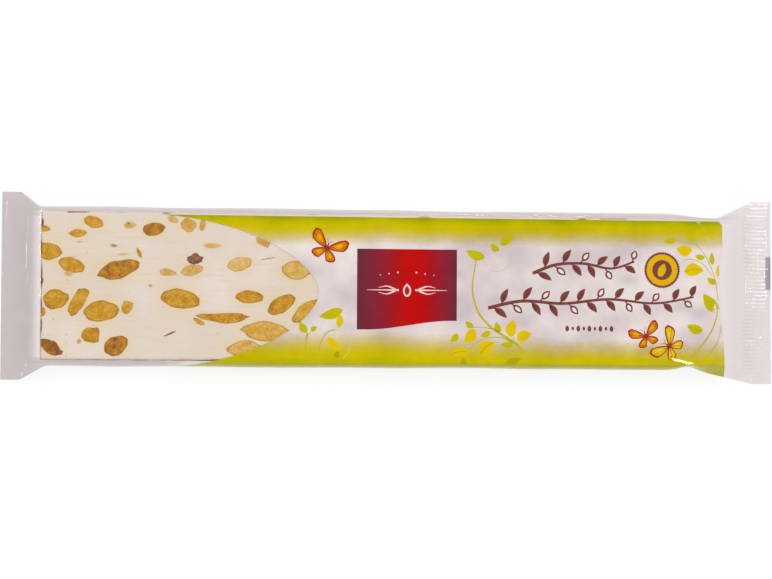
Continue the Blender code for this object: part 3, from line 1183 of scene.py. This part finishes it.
def field_ink():
    material, tree, output = new_material("flexographic_ink_white_fading_to_green")
    green = add_node(tree, "ShaderNodeAttribute", attribute_name="green")
    shade = add_node(tree, "ShaderNodeAttribute", attribute_name="shade")
    where = add_node(tree, "ShaderNodeTexCoord").outputs["Object"]
    spray = add_node(tree, "ShaderNodeTexNoise", {"Vector": where, "Scale": 1 / (1.3 * MM), "Detail": 4.0})
    sprayed = add_node(
        tree, "ShaderNodeMath", {0: spray.outputs["Fac"], 1: 0.10, 2: -0.05}, operation="MULTIPLY_ADD",
    )
    place = add_node(
        tree, "ShaderNodeMath", {0: green.outputs["Fac"], 1: sprayed.outputs["Value"]}, operation="ADD"
    )
    band = add_node(tree, "ShaderNodeValToRGB", {"Fac": place.outputs["Value"]})
    fill_ramp(band, [
        (0.04, "#EBE7E1"), (0.16, "#E1DABE"), (0.28, "#D7CC92"), (0.40, "#D0C568"), (0.50, "#CEC236"),
        (0.60, "#CDC112"), (0.74, "#C8C002"), (0.88, "#B4B604"), (1.0, "#9CA20E"),
    ])
    # Painted shade: the ink is greyed towards #D3CDD8 over the almonds behind it, less where it is green.
    cover = add_node(
        tree, "ShaderNodeMapRange", {"Value": green.outputs["Fac"], "To Min": 0.75, "To Max": 0.2}
    )
    through = add_node(
        tree, "ShaderNodeMath", {0: shade.outputs["Fac"], 1: cover.outputs["Result"]}, operation="MULTIPLY",
    )
    shaded = add_node(
        tree, "ShaderNodeMix",
        {0: through.outputs["Value"], 6: srgb("#FFFFFF"), 7: srgb("#D3CDD8")}, data_type="RGBA",
    )
    tinted = add_node(
        tree, "ShaderNodeMix",
        {0: 1.0, 6: band.outputs["Color"], 7: shaded.outputs[2]}, data_type="RGBA", blend_type="MULTIPLY",
    )
    finish_ink(tree, output, tinted.outputs[2])
    return material


build_field(field_ink(), TOP_ALMONDS)

# %% [markdown]
# ## Drawing with ink
#
# A motif is a thin mesh laid on the film's inner face, a few hundredths of a millimetre in front of
# the field. Two tools draw them all: one fills an outline from its middle outwards, and one draws
# a stroke along a curve, with its own width at each end. Places are x and s in millimetres.


# %% Filling and stroking
def turned(outline, x, s, turn):
    """An outline turned and moved to its place."""
    c, n = math.cos(math.radians(turn)), math.sin(math.radians(turn))
    return [(x + c * u - n * v, s + n * u + c * v) for u, v in outline]


def fill(pieces, outline, lift, rings=3, **values):
    """Fill an outline with rings of points round its middle."""
    rim = np.array(outline)
    middle = rim.mean(axis=0)
    loops = [middle + (rim - middle) * (ring + 1) / rings for ring in range(rings)]
    flat = np.concatenate([middle[None, :], *loops]) * MM
    count = len(outline)
    faces = [(0, 1 + (i + 1) % count, 1 + i) for i in range(count)]
    faces += grid_faces(rings, count, first=1, closed=True)
    points = film_point(flat[:, 0], flat[:, 1], lift)
    pieces.add(points, faces, **{name: [value] * len(points) for name, value in values.items()})


def curve_through(corners, step=0.7):
    """A smooth curve through a few corners, as points about one step apart."""
    ends = [corners[0], *corners, corners[-1]]
    curve = []
    for a, b, c, d in zip(ends, ends[1:], ends[2:], ends[3:]):
        a, b, c, d = (np.array(p, float) for p in (a, b, c, d))
        count = max(2, round(np.hypot(*(c - b)) / step))
        for t in np.arange(count) / count:
            bend = (2 * a - 5 * b + 4 * c - d) * t ** 2 + (3 * b - a - 3 * c + d) * t ** 3
            curve.append((2 * b + (c - a) * t + bend) / 2)
    curve.append(np.array(corners[-1], float))
    return np.array(curve)


def stroke(pieces, corners, start_width, end_width, lift):
    """A line of ink through these corners."""
    line = curve_through(corners)
    way = np.gradient(line, axis=0)
    way /= np.maximum(np.hypot(way[:, 0], way[:, 1]), 1e-9)[:, None]
    aside = np.stack([-way[:, 1], way[:, 0]], axis=-1)
    widths = np.linspace(start_width, end_width, len(line))[:, None]
    flat = np.stack([line + aside * widths * side for side in (-0.5, 0, 0.5)], axis=1) * MM
    points = film_point(flat[..., 0], flat[..., 1], lift).reshape(-1, 3)
    pieces.add(points, grid_faces(len(line), 3))


def ring_path(x, s, radius, start, end):
    """Corners round part of a circle, from one angle to another."""
    count = max(3, round(abs(end - start) / 20))
    angles = np.radians(np.linspace(start, end, count + 1))
    return [(x + radius * math.cos(a), s + radius * math.sin(a)) for a in angles]


# %% [markdown]
# ## Leaves and stems
#
# The spray of leaves is drawn the way a border of leaves usually is: thin stems in one long bow, and
# leaves of two colours that start round and end in a point. Some have a vein. A leaf's place is its
# middle, and its turn is the way its tip points.

# %% Leaves and stems
LEAVES = [
    # x, s, length, width, turn, colour, vein
    (31.6, 13.6, 7.8, 3.6, 160, "green", False),
    (39.2, 16.3, 4.3, 2.6, 142, "green", False),
    (44.1, 19.0, 6.4, 3.3, 33, "green", False),
    (29.4, -13.6, 3.8, 2.3, 142, "green", False),
    (23.4, -18.8, 4.3, 2.6, 226, "green", False),
    (29.4, -18.1, 6.6, 4.4, 232, "yellow", False),
    (35.6, -17.2, 4.2, 2.5, 205, "green", False),
    (40.5, -14.6, 4.4, 2.6, 112, "green", False),
    (46.1, -15.0, 6.9, 4.2, 80, "yellow", False),
    (50.8, -18.2, 6.4, 4.2, 25, "yellow", False),
    (44.0, -21.2, 4.9, 2.4, 176, "green", False),
    (36.2, -22.8, 7.8, 5.2, 42, "yellow", True),
    (26.1, -24.6, 6.8, 4.0, 6, "yellow", True),
    # the next two leaves, in the darker green at the front edge, are a painted shadow
    (46.4, -28.2, 7.4, 2.8, 28, "shaded", False),
    (27.4, -28.4, 3.6, 2.6, 96, "shaded", False),
    (-24.3, -9.7, 9.4, 4.0, 197, "green", False),
    (-21.2, -12.9, 5.4, 2.7, 264, "yellow", False),
    (-34.9, -15.2, 4.9, 3.0, 124, "green", False),
    (-30.8, -15.9, 3.0, 1.9, 32, "green", False),
    (-23.2, -21.2, 6.8, 3.2, 134, "yellow", False),
    # this leaf in the darker green at the front edge is a painted shadow
    (-21.7, -25.6, 2.8, 2.0, 80, "shaded", False),
    (108.1, 19.8, 5.0, 2.4, 186, "green", False),
    (113.7, 16.3, 6.4, 4.2, 176, "yellow", False),
    (116.2, 21.4, 4.5, 2.2, 112, "green", False),
    (120.0, 13.6, 4.0, 2.3, 168, "green", False),
    (125.0, 12.9, 4.8, 2.0, 92, "green", False),
    (117.7, 8.0, 7.8, 5.0, 4, "yellow", True),
    (127.4, 8.1, 4.8, 1.5, 90, "yellow", False),
    (124.8, 4.3, 4.3, 2.4, 150, "green", False),
    (124.6, -4.4, 9.6, 4.8, 132, "green", False),
    (118.0, -14.3, 6.6, 3.8, 160, "green", True),
]
STEMS = [
    # width at the start and the end, then corners in x and s
    (0.45, 0.95, [(31.9, 11.6), (30.5, 1.6), (31.1, -4.2), (33.4, -9.9), (38.1, -15.1)]),
    (0.95, 1.10, [(38.1, -15.1), (45.2, -19.5), (49.9, -23.3), (53.0, -27.9)]),
    (0.30, 0.35, [(30.6, -14.8), (33.6, -14.6), (38.0, -15.2)]),
    (0.30, 0.45, [(29.2, -24.2), (31.8, -20.9), (36.2, -18.9), (41.6, -18.6), (46.4, -20.6)]),
    (0.30, 0.45, [(46.6, -21.8), (49.6, -24.4), (51.6, -28.6)]),
    (0.30, 0.45, [(47.0, -18.6), (46.4, -19.4), (48.6, -21.4)]),
    (0.55, 0.40, [(-33.4, -17.2), (-34.0, -23.9), (-33.0, -30.1)]),
    (0.30, 0.30, [(-31.9, -17.0), (-33.3, -18.2), (-33.6, -20.0)]),
    (0.45, 0.30, [(-29.2, -30.0), (-28.6, -22.4), (-25.9, -17.4), (-22.6, -16.1)]),
    (0.30, 0.35, [(116.4, 19.6), (119.6, 17.2), (122.4, 13.6), (124.8, 8.6), (126.4, 3.0), (127.4, -3.4)]),
    (0.45, 0.85, [(127.2, -5.6), (126.6, -10.4), (124.4, -15.8), (120.0, -22.0), (113.2, -29.1)]),
    (0.25, 0.30, [(113.4, 12.2), (117.6, 12.4), (121.6, 10.4), (124.6, 6.4)]),
    (0.30, 0.50, [(128.8, -13.0), (128.0, -17.6), (125.4, -22.4), (119.4, -28.4)]),
    (0.25, 0.25, [(111.0, 19.9), (114.6, 18.8), (117.0, 18.6)]),
]
FAINT_RINGS = [
    # x, s, radius, start and end angle
    (40.0, 12.6, 5.6, -170, 130),
    (-22.7, -21.9, 5.9, -60, 160),
]


def leaf_outline(length, width):
    """A leaf round its own middle, with its tip along its first axis and a slight bow."""
    count = 11
    steps = [index / count for index in range(count + 1)]
    bow = [0.12 * width * math.sin(math.pi * t) for t in steps]
    half = [width / 2 * math.sin(math.pi * t ** 0.80) ** 0.85 for t in steps]
    upper = [((t - 0.5) * length, b + h) for t, b, h in zip(steps, bow, half)]
    lower = [((t - 0.5) * length, b - h) for t, b, h in zip(steps, bow, half)]
    return lower + upper[-2:0:-1]


def draw_leaves(inks):
    for x, s, length, width, turn, colour, vein in LEAVES:
        fill(inks[colour], turned(leaf_outline(length, width), x, s, turn), MOTIF_LIFT)
        if vein:
            reach = length * 0.36
            line = turned([(-reach * 1.3, 0), (0, 0.14 * width), (reach, 0.05 * width)], x, s, turn)
            stroke(inks["shaded"], line, 0.35, 0.2, DETAIL_LIFT)


def draw_stems(inks):
    for start_width, end_width, corners in STEMS:
        stroke(inks["stem"], corners, start_width, end_width, MOTIF_LIFT)
    for x, s, radius, start, end in FAINT_RINGS:
        stroke(inks["faint"], ring_path(x, s, radius, start, end), 0.22, 0.22, MOTIF_LIFT)


# %% [markdown]
# ## Butterflies
#
# Each butterfly is four wings round a body. A wing is drawn three times, each time smaller and in
# front of the last: the dark rim, the wing's own colour, and a light middle.

# %% Butterflies
BUTTERFLIES = [
    # x, s, reach of a front wing, turn, colour
    (-26.0, 15.4, 8.9, -24, "orange"),
    (98.6, -17.6, 7.4, 22, "orange"),
    (107.8, -21.4, 8.3, 57, "yellow"),
]
WINGS = [
    # angle from the body, reach, width, both as shares of a front wing's reach
    (54, 1.0, 0.80),
    (131, 0.70, 0.70),
]


def wing_outline(reach, width):
    """A wing from its root outwards: narrow, then wide, and blunt at the end."""
    count = 16
    steps = [index / count for index in range(count + 1)]
    half = [width / 2 * 1.2 * t ** 0.8 * (1 - t ** 3.5) ** 0.5 for t in steps]
    front = [(t * reach, 0.7 * h * (1 - 0.3 * t)) for t, h in zip(steps, half)]
    rear = [
        (t * reach * (1 - 0.1 * math.sin(3 * math.pi * t)), -1.25 * h * (1 - 0.2 * t))
        for t, h in zip(steps, half)
    ]
    return rear + front[-2:0:-1]


def shrunk(outline, share):
    middle = np.array(outline).mean(axis=0)
    return [tuple(middle + (np.array(p) - middle) * share) for p in outline]


def draw_butterflies(inks):
    for x, s, size, turn, colour in BUTTERFLIES:
        light = "gold" if colour == "orange" else "pale_yellow"
        for angle, reach, width in WINGS:
            for side in (-1, 1):
                direction = 90 + turn + side * angle
                shape = [(u, -side * v) for u, v in wing_outline(reach * size, width * size)]
                wing = turned(shape, x, s, direction)
                fill(inks["rim"], wing, MOTIF_LIFT)
                fill(inks[colour], shrunk(wing, 0.80), DETAIL_LIFT)
                fill(inks[light], shrunk(wing, 0.42), TOP_LIFT)
                for share in (-12, 10):
                    tip = turned([(0.4, 0), (reach * size * 0.9, 0)], x, s, direction + share)
                    stroke(inks["rim"], tip, 0.28, 0.16, TOP_LIFT)
        body = turned(
            [(0.36 * math.cos(a), 1.9 * math.sin(a)) for a in np.linspace(0, 6.28, 11)[:-1]], x, s, turn
        )
        fill(inks["brown"], body, TOP_LIFT)
        for side in (-1, 1):
            feeler = turned([(0, 1.6), (side * 0.6, 2.6), (side * 1.3, 3.4)], x, s, turn)
            stroke(inks["brown"], feeler, 0.2, 0.14, MOTIF_LIFT)


# %% [markdown]
# ## The red panel
#
# A plain panel, burgundy at its sides and red in the middle, takes the place where a pack like this
# carries a name. Its lower edge rises a little to the right. It holds a divider such as old books
# have between chapters: an almond between two thin lines that taper away.

# %% The red panel
PANEL_LEFT, PANEL_RIGHT = -14.3, 24.4
PANEL_BACK = 15.2
PANEL_FRONT_LEFT, PANEL_FRONT_RIGHT = -15.9, -12.3


def panel_ink():
    material, tree, output = new_material("flexographic_ink_red_fading_to_burgundy")
    across = add_node(tree, "ShaderNodeAttribute", attribute_name="across")
    red = add_node(tree, "ShaderNodeValToRGB", {"Fac": across.outputs["Fac"]})
    fill_ramp(red, [
        (0.0, "#67303C"), (0.12, "#7A2A39"), (0.26, "#8C2434"), (0.38, "#A91A20"), (0.48, "#BA1312"),
        (0.64, "#BC1212"), (0.74, "#A5181E"), (0.85, "#8E2232"), (1.0, "#6A2F3B"),
    ])
    finish_ink(tree, output, red.outputs["Color"])
    return material


def build_panel(material):
    columns, rows = np.linspace(0, 1, 40), np.linspace(0, 1, 32)
    u, v = np.meshgrid(columns, rows, indexing="ij")
    front = mix(PANEL_FRONT_LEFT, PANEL_FRONT_RIGHT, smooth(1.15 * u - 0.1))
    x = mix(PANEL_LEFT, PANEL_RIGHT, u) * MM
    s = mix(front, PANEL_BACK, v) * MM
    points = film_point(x, s, MOTIF_LIFT).reshape(-1, 3)
    return add_piece("red_panel", points, grid_faces(*u.shape), material, {"across": u.ravel()})


def almond_sign(length, width):
    """The outline of a whole almond: round at one end and pointed at the other."""
    angles = np.linspace(0, 2 * math.pi, 21)[:-1]
    return [
        (length / 2 * math.cos(a), width / 2 * math.sin(a) * (1 - 0.75 * max(0, math.cos(a)) ** 2))
        for a in angles
    ]


def draw_divider(inks):
    middle_x = (PANEL_LEFT + PANEL_RIGHT) / 2
    middle_s = -0.6
    fill(inks["blush"], turned(almond_sign(5.2, 3.2), middle_x, middle_s, 90), DETAIL_LIFT)
    fill(inks["rim"], turned(almond_sign(3.6, 1.9), middle_x, middle_s - 0.1, 90), TOP_LIFT)
    for side in (-1, 1):
        for gap, reach, rise in ((3.2, 15.5, 0.0), (4.6, 11.0, 1.5), (4.6, 11.0, -1.5)):
            line = [
                (middle_x + side * gap, middle_s + rise * 0.2),
                (middle_x + side * (gap + reach) / 2, middle_s + rise),
                (middle_x + side * reach, middle_s + rise * 0.6),
            ]
            stroke(inks["blush"], line, 0.75, 0.15, DETAIL_LIFT)
        for step in range(3):
            dot = ring_path(
                middle_x + side * (3.6 + 3.4 * step), 6.2 - 0.5 * step, 0.35 - 0.06 * step, 0, 340
            )
            fill(inks["blush"], dot, DETAIL_LIFT, rings=1)


# %% [markdown]
# ## The brown sprigs, the disc and the mark
#
# Two sprigs of almond in brown line lie where a pack has its title, a row of dots where it has its
# small print, and a gold disc with an almond where it might carry a seal. On the fin is the dark
# patch whose edge tells the wrapping machine's light sensor where one pack ends.

# %% Sprigs, disc and mark
SPRIGS = [
    # the stem's corners, and how many leaves it has
    ([(54.0, 6.4), (63.0, 9.8), (74.0, 10.4), (85.0, 8.6), (94.0, 11.4)], 12),
    ([(36.6, -7.2), (50.0, -4.4), (66.0, -5.2), (84.0, -3.4), (102.0, -4.8), (117.5, -2.2)], 22),
]
DISC = (105.0, 8.2, 7.0)
DOT_ROW = (67.6, 85.0, -14.8)
MARK = (147.8, 149.9, 1.2, 14.2)


def draw_sprigs(inks):
    for corners, count in SPRIGS:
        line = curve_through(corners)
        stroke(inks["brown"], corners, 1.35, 0.75, MOTIF_LIFT)
        for index in range(count):
            at = round((index + 0.7) / count * (len(line) - 2))
            way = line[at + 1] - line[at]
            side = 1 if index % 2 else -1
            lean = math.degrees(math.atan2(way[1], way[0])) + side * 52
            length = 6.4 - 1.6 * index / count
            tip = (math.cos(math.radians(lean)), math.sin(math.radians(lean)))
            x, s = line[at][0] + tip[0] * length * 0.62, line[at][1] + tip[1] * length * 0.62
            if index % 3 == 2:
                fill(inks["brown"], turned(almond_sign(length * 0.72, 2.7), x, s, lean), MOTIF_LIFT)
                fill(inks["paper"], turned(almond_sign(length * 0.46, 1.3), x, s, lean), DETAIL_LIFT)
            else:
                fill(inks["brown"], turned(leaf_outline(length * 0.95, 2.5), x, s, lean), MOTIF_LIFT)
            stroke(inks["brown"], [tuple(line[at]), (x, s)], 0.55, 0.45, MOTIF_LIFT)


def draw_dots(inks):
    start, end, s = DOT_ROW
    for index in range(9):
        x = mix(start, end, index / 8)
        size = 0.62 if index % 2 else 0.95
        fill(
            inks["brown"], turned(almond_sign(2 * size * 1.3, 2 * size * 0.8), x, s, 90), MOTIF_LIFT, rings=1
        )


def draw_disc(inks):
    x, s, radius = DISC
    teeth = 44
    rim = []
    for index in range(2 * teeth):
        angle = math.pi * index / teeth
        reach = radius + (0.16 if index % 2 else -0.22)
        rim.append((x + reach * math.cos(angle), s + reach * math.sin(angle)))
    fill(inks["brown"], rim, MOTIF_LIFT)
    fill(inks["gold"], ring_path(x, s, radius * 0.88, 0, 355), DETAIL_LIFT)
    inner = ring_path(x, s, radius * 0.56, 0, 355)
    fill(inks["brown"], inner, TOP_LIFT)
    fill(inks["gold"], turned(almond_sign(radius * 0.78, radius * 0.44), x, s, 70), TOP_LIFT / 2)


def draw_mark(inks):
    start, end, front, back = MARK
    corners = [(start, front), (end, front), (end, back), (start, back)]
    outline = []
    for (x0, s0), (x1, s1) in zip(corners, corners[1:] + corners[:1]):
        outline += [(mix(x0, x1, step / 6), mix(s0, s1, step / 6)) for step in range(6)]
    fill(inks["grey"], outline, MOTIF_LIFT)


# %% Print everything
INKS = {
    # name: colour, slot
    "green": ("#BEB90C", "green_ink"),
    # darker green: the veins, which are print, and the front-edge leaves, which are painted shadow
    "shaded": ("#A8A60E", "green_ink"),
    "stem": ("#BDB82E", "green_ink"),
    "faint": ("#CFC79A", "green_ink"),
    "yellow": ("#DBC20A", "yellow_ink"),
    "pale_yellow": ("#E6CD3A", "yellow_ink"),
    "gold": ("#DDB010", "yellow_ink"),
    "orange": ("#CF7C0C", "orange_ink"),
    "rim": ("#A8281A", "red_ink"),
    "brown": ("#7A4740", "brown_ink"),
    "blush": ("#EBD3D0", "white_ink"),
    "paper": ("#E6E1DA", "white_ink"),
    "grey": ("#A79CA6", "grey_ink"),
}
inks = {name: Pieces() for name in INKS}
build_panel(panel_ink())
draw_leaves(inks)
draw_stems(inks)
draw_butterflies(inks)
draw_divider(inks)
draw_sprigs(inks)
draw_dots(inks)
draw_disc(inks)
draw_mark(inks)
for name, (colour, slot) in INKS.items():
    inks[name].build("ink_" + name, plain_ink(name, colour), slot)

# %% [markdown]
# ## Floor, light and camera
#
# The pack lies on plain white paper. The floor's colour is split by ray: what the camera sees, directly
# or in a glossy surface, is lifted towards white by its own light, while every other ray meets an
# ordinary diffuse white, so the paper looks white and still takes the pack's soft shadow. The light is
# a light tent: a pale, even sky, dark straight above so that it doesn't glare in the flat film, and three
# small soft boxes standing well off to the sides, which only the creases and ribs catch.


# %% Floor
FLOOR_GLOW = 0.8
FLOOR_HALF_SIZE = 5.0
FLOOR_DROP = 0.02 * MM


def build_floor():
    material, tree, output = new_material("white_paper_matt")
    where = add_node(tree, "ShaderNodeTexCoord").outputs["Object"]
    fibres = add_node(tree, "ShaderNodeTexNoise", {"Vector": where, "Scale": 1 / (1.5 * MM), "Detail": 3.0})
    bump = add_node(
        tree, "ShaderNodeBump", {"Height": fibres.outputs["Fac"], "Strength": 0.1, "Distance": 0.05 * MM}
    )
    paper = add_node(
        tree, "ShaderNodeBsdfPrincipled",
        {
            "Base Color": srgb("#FFFFFF"),
            "Roughness": 0.9,
            "Specular IOR Level": 0.2,
            "Normal": bump.outputs["Normal"],
        },
    )
    glow = add_node(tree, "ShaderNodeEmission", {"Color": srgb("#FFFFFF"), "Strength": 1.0})
    path = add_node(tree, "ShaderNodeLightPath")
    seen = add_node(
        tree, "ShaderNodeMath",
        {0: path.outputs["Is Camera Ray"], 1: path.outputs["Is Glossy Ray"]}, operation="MAXIMUM",
    )
    lifted = add_node(
        tree, "ShaderNodeMath", {0: seen.outputs["Value"], 1: FLOOR_GLOW}, operation="MULTIPLY"
    )
    surface = add_node(
        tree, "ShaderNodeMixShader",
        {0: lifted.outputs["Value"], 1: paper.outputs["BSDF"], 2: glow.outputs["Emission"]},
    )
    tree.links.new(surface.outputs["Shader"], output.inputs["Surface"])
    mesh = bpy.data.meshes.new("floor")
    corners = [(-1, -1), (1, -1), (1, 1), (-1, 1)]
    points = [(x * FLOOR_HALF_SIZE, y * FLOOR_HALF_SIZE, low[2] - FLOOR_DROP) for x, y in corners]
    mesh.from_pydata(points, [], [(0, 1, 2, 3)])
    mesh.materials.append(material)
    floor = bpy.data.objects.new("floor", mesh)
    bpy.context.scene.collection.objects.link(floor)


build_floor()


# %% Light
SKY_STRENGTH = 0.78
LAMP_DISTANCE = 1.25
LAMPS = [
    # name, direction round the pack, angle from straight above, width, length, watts
    ("soft_box_left", 168, 42, 0.15, 0.30, 3.2),
    ("soft_box_right", 46, 38, 0.18, 0.25, 3.6),
    ("soft_box_back", 73, 38, 0.12, 0.22, 2.4),
]


def build_sky():
    world = bpy.data.worlds.new("light_tent")
    world.use_nodes = True
    tree = world.node_tree
    tree.nodes.clear()
    output = tree.nodes.new("ShaderNodeOutputWorld")
    way = add_node(tree, "ShaderNodeTexCoord")
    parts = add_node(tree, "ShaderNodeSeparateXYZ", {"Vector": way.outputs["Generated"]})
    height = add_node(tree, "ShaderNodeValToRGB", {"Fac": parts.outputs["Z"]})
    fill_ramp(
        height, [(0.0, "#E8E8E8"), (0.45, "#D8D8D8"), (0.75, "#707070"), (0.92, "#1C1C1C"), (1.0, "#101010")]
    )
    path = add_node(tree, "ShaderNodeLightPath")
    seen = add_node(
        tree, "ShaderNodeMix",
        {0: path.outputs["Is Glossy Ray"], 6: srgb("#FFFFFF"), 7: height.outputs["Color"]}, data_type="RGBA",
    )
    strength = add_node(
        tree, "ShaderNodeMapRange", {
            "Value": path.outputs["Is Camera Ray"], "To Min": SKY_STRENGTH, "To Max": 1.0
        },
    )
    sky = add_node(
        tree, "ShaderNodeBackground", {"Color": seen.outputs[2], "Strength": strength.outputs["Result"]}
    )
    tree.links.new(sky.outputs["Background"], output.inputs["Surface"])
    bpy.context.scene.world = world


def add_soft_box(name, place, size, power):
    """A white area lamp that faces the pack."""
    lamp = bpy.data.lights.new(name, "AREA")
    lamp.shape = "RECTANGLE"
    lamp.size, lamp.size_y = size
    lamp.energy = power
    made = bpy.data.objects.new(name, lamp)
    made.location = place
    made.rotation_euler = (-Vector(place)).to_track_quat("-Z", "Y").to_euler()
    bpy.context.scene.collection.objects.link(made)


build_sky()
for name, direction, lean, width, length, watts in LAMPS:
    round_way, down = math.radians(direction), math.radians(lean)
    aside = math.sin(down) * LAMP_DISTANCE
    place = (aside * math.cos(round_way), aside * math.sin(round_way), math.cos(down) * LAMP_DISTANCE)
    add_soft_box(name, place, (width, length), watts)
print("soft boxes:", len(LAMPS), "at", LAMP_DISTANCE, "m")


# %% Camera
LENS = 115.1
CAMERA_PLACE = (-0.1011, -0.0460, 0.9564)
CAMERA_TILT = (2.72, -5.94, 0.28)


def build_camera():
    lens = bpy.data.cameras.new("camera")
    lens.type = "PERSP"
    lens.sensor_width = 36
    lens.lens = LENS
    lens.clip_start = 0.05
    camera = bpy.data.objects.new("camera", lens)
    camera.location = CAMERA_PLACE
    camera.rotation_euler = [math.radians(angle) for angle in CAMERA_TILT]
    bpy.context.scene.collection.objects.link(camera)
    bpy.context.scene.camera = camera


build_camera()
bpy.context.scene.view_settings.view_transform = "Standard"
print("camera", round(CAMERA_PLACE[2], 2), "m above the paper, lens", LENS, "mm")
